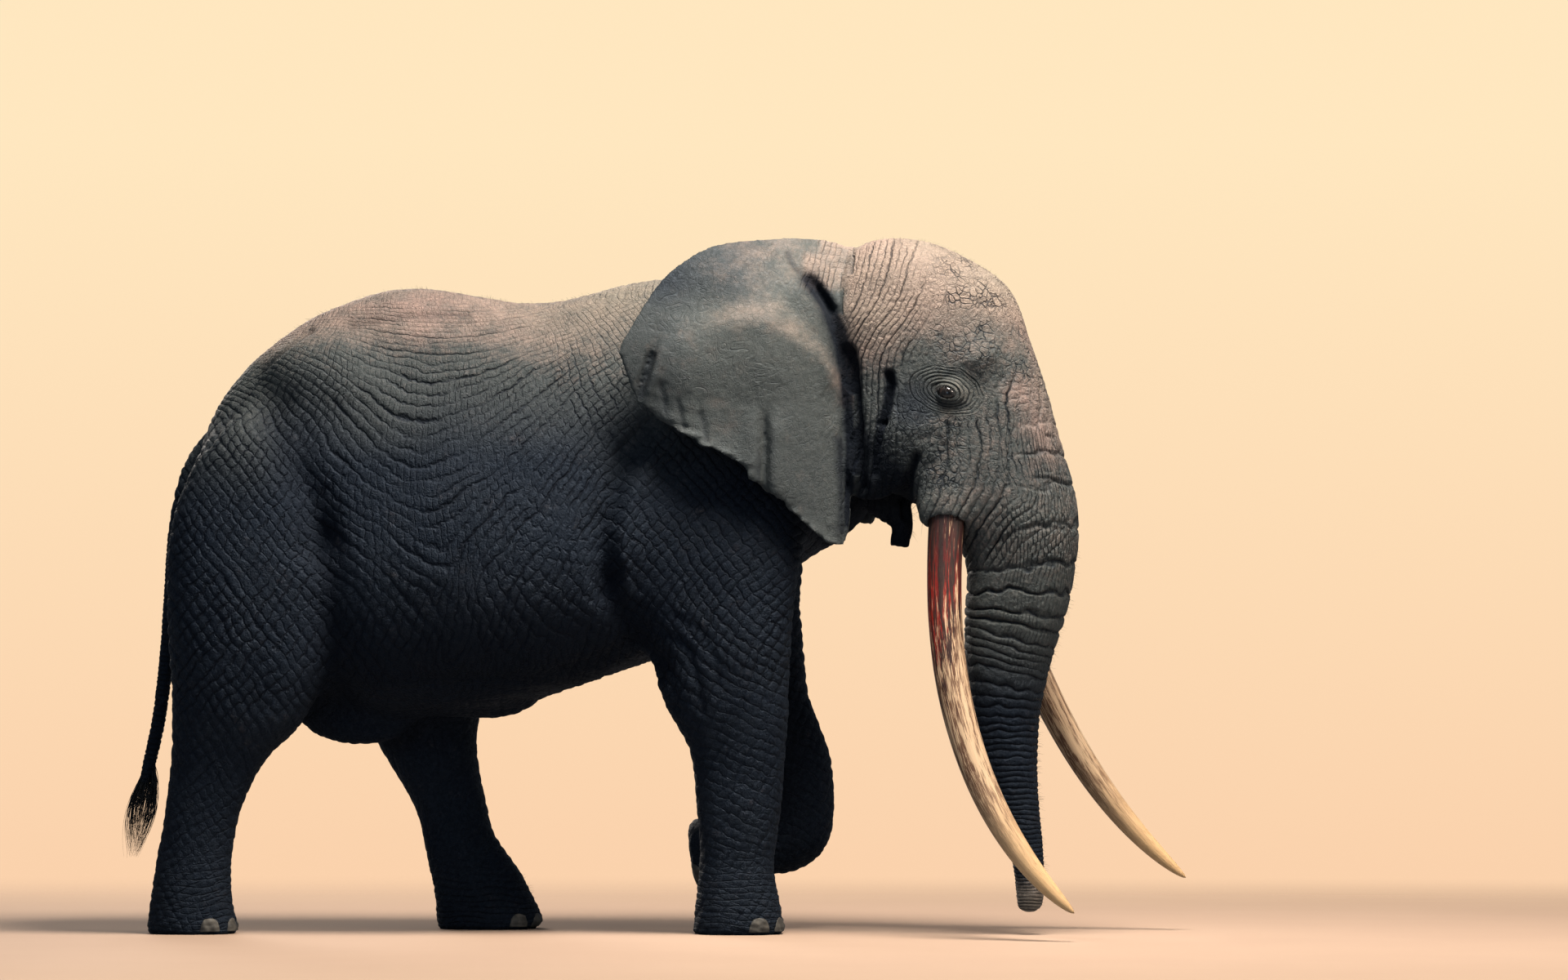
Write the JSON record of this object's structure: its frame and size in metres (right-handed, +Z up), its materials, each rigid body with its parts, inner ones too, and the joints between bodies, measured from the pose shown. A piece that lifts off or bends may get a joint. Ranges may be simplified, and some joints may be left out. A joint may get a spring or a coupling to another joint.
{
  "type": "elephant figure",
  "caption": "Life-size model of an African bush elephant bull with very long tusks, walking with one foreleg lifted, ears laid back.",
  "frame": {"origin": "on the floor, under the middle of the whole animal's bounding box", "axes": "+X the way the animal walks, +Y its left side, +Z up"},
  "size_m": [5.3576, 1.8594, 3.4411],
  "materials": {
    "skin": "matte",
    "ivory": "satin",
    "eye": "gloss",
    "hair": "matte"
  },
  "bodies": {
    "root": {"torso": "skin", "neck": "skin", "head": "skin", "lower_jaw": "skin", "trunk_upper": "skin", "trunk_lower": "skin", "ear_left": "skin", "ear_right": "skin", "foreleg_left": "skin", "foreleg_right": "skin", "forefoot_left": "skin", "forefoot_right": "skin", "hindleg_left": "skin", "hindleg_right": "skin", "hindfoot_left": "skin", "hindfoot_right": "skin", "tail": "skin", "tail_tuft": "hair", "eye_left": "eye", "eye_right": "eye", "tusk_left": "ivory", "tusk_right": "ivory"}
  },
  "joints": []
}
